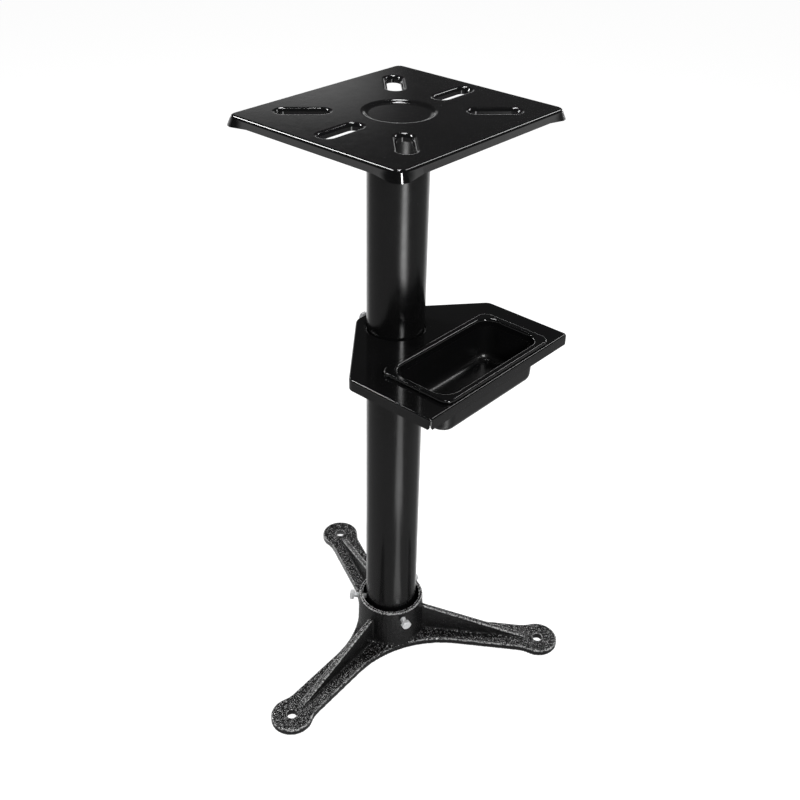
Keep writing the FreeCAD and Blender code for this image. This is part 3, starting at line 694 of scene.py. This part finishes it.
def backdrop_world(scene, settings):
    """White backdrop. Gloss shows its white foot and one brighter side, and a dark room over it."""
    world = bpy.data.worlds.new("studio")
    scene.world = world
    world.use_nodes = True
    tree = world.node_tree
    tree.nodes.clear()
    path, seen = seen_rays(tree)
    way = add_node(tree, "ShaderNodeTexCoord").outputs["Generated"]
    height = add_node(tree, "ShaderNodeSeparateXYZ", {"Vector": way}).outputs["Z"]
    low_edge = sin(settings.backdrop_top - radians(BACKDROP_FADE))
    high_edge = sin(settings.backdrop_top + radians(BACKDROP_FADE))
    drop = add_node(tree, "ShaderNodeMapRange", {
        "Value": height, "From Min": low_edge, "From Max": high_edge, "To Min": 1.0, "To Max": 0.0},
        interpolation_type="SMOOTHSTEP").outputs["Result"]
    lit = maths(tree, "ADD", lobe(tree, way, *BACKDROP_LIGHT), settings.backdrop_level)
    foot = ranged(tree, height, *(sin(radians(angle)) for angle in BACKDROP_FOOT), 1.0, 0.0)
    lit = maths(tree, "MAXIMUM", lit, foot)
    mirrored = maths(tree, "ADD", maths(tree, "MULTIPLY", drop, lit), settings.room_level)
    level = maths(tree, "MAXIMUM", mirrored, path.outputs["Is Camera Ray"])
    level = maths(tree, "MAXIMUM", level, path.outputs["Is Transmission Ray"])
    lighting = add_node(tree, "ShaderNodeBackground", {"Color": (1, 1, 1, 1), "Strength": settings.sky})
    shown = add_node(tree, "ShaderNodeBackground", {"Color": (1, 1, 1, 1), "Strength": level})
    mixed = add_node(tree, "ShaderNodeMixShader", {0: seen, 1: lighting.outputs[0], 2: shown.outputs[0]})
    add_node(tree, "ShaderNodeOutputWorld", {"Surface": mixed.outputs[0]})


def area_lamp(name, size_x, size_y, radiance):
    """Rectangular lamp of even radiance that the camera doesn't see."""
    lamp = bpy.data.lights.new(name, "AREA")
    lamp.shape = "RECTANGLE"
    lamp.size = size_x
    lamp.size_y = size_y
    lamp.energy = radiance * pi * size_x * size_y
    obj = bpy.data.objects.new(name, lamp)
    obj.visible_camera = False
    bpy.context.scene.collection.objects.link(obj)
    return obj


def floor_strip(name, near, far, width, radiance, lift):
    """Strip lamp lying on the floor beside the stand, shining up."""
    obj = area_lamp(name, far - near, width, radiance)
    obj.location = Vector(heading_vector(STRIP_HEADING)) * (near + far) / 2 + Vector((0, 0, lift))
    obj.rotation_euler = (pi, 0, radians(STRIP_HEADING))


def softbox(name, heading, elevation, distance, width, height, radiance):
    """Rectangular lamp on a sphere round the middle of the stand, facing it."""
    way = Vector(heading_vector(heading, elevation))
    obj = area_lamp(name, width, height, radiance)
    obj.location = STAND_MIDDLE + way * distance
    obj.rotation_euler = (-way).to_track_quat("-Z", "Y").to_euler()


def place_camera(settings):
    """Adds the camera by its turn, tilt and roll, and its place round the column."""
    turn = settings.heading
    level_look = Vector((-sin(turn), cos(turn), 0))
    level_right = Vector((cos(turn), sin(turn), 0))
    look = level_look * cos(settings.pitch) - Vector((0, 0, 1)) * sin(settings.pitch)
    head = level_look * sin(settings.pitch) + Vector((0, 0, 1)) * cos(settings.pitch)
    right = level_right * cos(settings.roll) + head * sin(settings.roll)
    up = head * cos(settings.roll) - level_right * sin(settings.roll)
    place = level_right * settings.side - level_look * settings.distance + Vector((0, 0, settings.height))
    lens = bpy.data.cameras.new("view")
    lens.sensor_width = 36.0
    lens.lens = settings.lens
    camera = bpy.data.objects.new("view", lens)
    turn_matrix = Matrix((right, up, -look)).transposed().to_4x4()
    camera.matrix_world = Matrix.Translation(place) @ turn_matrix
    bpy.context.scene.collection.objects.link(camera)
    bpy.context.scene.camera = camera


class STAND_OT_studio(bpy.types.Operator):
    """Set up the pale floor, the soft lamps and the camera"""
    bl_idname = "stand.studio"
    bl_label = "Studio"
    bl_options = {"REGISTER", "UNDO"}

    def execute(self, context):
        settings = context.scene.stand_studio
        scene = context.scene
        scene.view_settings.view_transform = "Standard"
        half = settings.floor_size / 2
        floor = new_piece("floor", [(-half, -half, 0), (half, -half, 0), (half, half, 0), (-half, half, 0)],
                          [(0, 1, 2, 3)], smooth=False)
        floor.location.z = -FLOOR_DROP
        paint(floor, floor_finish(settings))
        backdrop_world(scene, settings)
        for box in SOFTBOXES:
            softbox(*box)
        for strip in FLOOR_STRIPS:
            floor_strip(*strip)
        place_camera(settings)
        return {"FINISHED"}


# ---------------------------------------------------------------- panel and registration
class STAND_PT_panel(bpy.types.Panel):
    """Lists the stand's pieces and their settings"""
    bl_idname = "STAND_PT_panel"
    bl_label = "Grinder Stand"
    bl_space_type = "VIEW_3D"
    bl_region_type = "UI"
    bl_category = "Grinder Stand"

    def draw(self, context):
        for group, operators in PANEL_ROWS:
            box = self.layout.box()
            settings = getattr(context.scene, group)
            for name in settings.bl_rna.properties.keys():
                if name not in ("rna_type", "name"):
                    box.prop(settings, name)
            for operator in operators:
                box.operator(operator)


SETTINGS = {
    "stand_casting": CastingSettings,
    "stand_enamel": EnamelSettings,
    "stand_plating": PlatingSettings,
    "stand_weld": WeldSettings,
    "stand_studio": StudioSettings,
}
PANEL_ROWS = (
    ("stand_casting", ("stand.casting",)),
    ("stand_weld", ("stand.column",)),
    ("stand_enamel", ("stand.plate", "stand.tray", "stand.pot")),
    ("stand_plating", ("stand.bolts",)),
    ("stand_studio", ("stand.studio",)),
)
OPERATORS = (
    STAND_OT_casting,
    STAND_OT_column,
    STAND_OT_plate,
    STAND_OT_tray,
    STAND_OT_pot,
    STAND_OT_bolts,
    STAND_OT_studio,
)


def register():
    for group in SETTINGS.values():
        bpy.utils.register_class(group)
    for name, group in SETTINGS.items():
        setattr(bpy.types.Scene, name, PointerProperty(type=group))
    for operator in OPERATORS:
        bpy.utils.register_class(operator)
    bpy.utils.register_class(STAND_PT_panel)


def unregister():
    bpy.utils.unregister_class(STAND_PT_panel)
    for operator in reversed(OPERATORS):
        bpy.utils.unregister_class(operator)
    for name in SETTINGS:
        delattr(bpy.types.Scene, name)
    for group in reversed(list(SETTINGS.values())):
        bpy.utils.unregister_class(group)


def clear_start_objects():
    """Removes the cube, lamp and camera of a new file."""
    for name in ("Cube", "Light", "Camera"):
        obj = bpy.data.objects.get(name)
        if obj:
            bpy.data.objects.remove(obj, do_unlink=True)


def main():
    clear_start_objects()
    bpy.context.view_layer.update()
    register()
    bpy.ops.stand.casting()
    bpy.ops.stand.column()
    bpy.ops.stand.plate()
    bpy.ops.stand.tray()
    bpy.ops.stand.pot()
    bpy.ops.stand.bolts()
    bpy.ops.stand.studio()


if __name__ == "__main__":
    main()
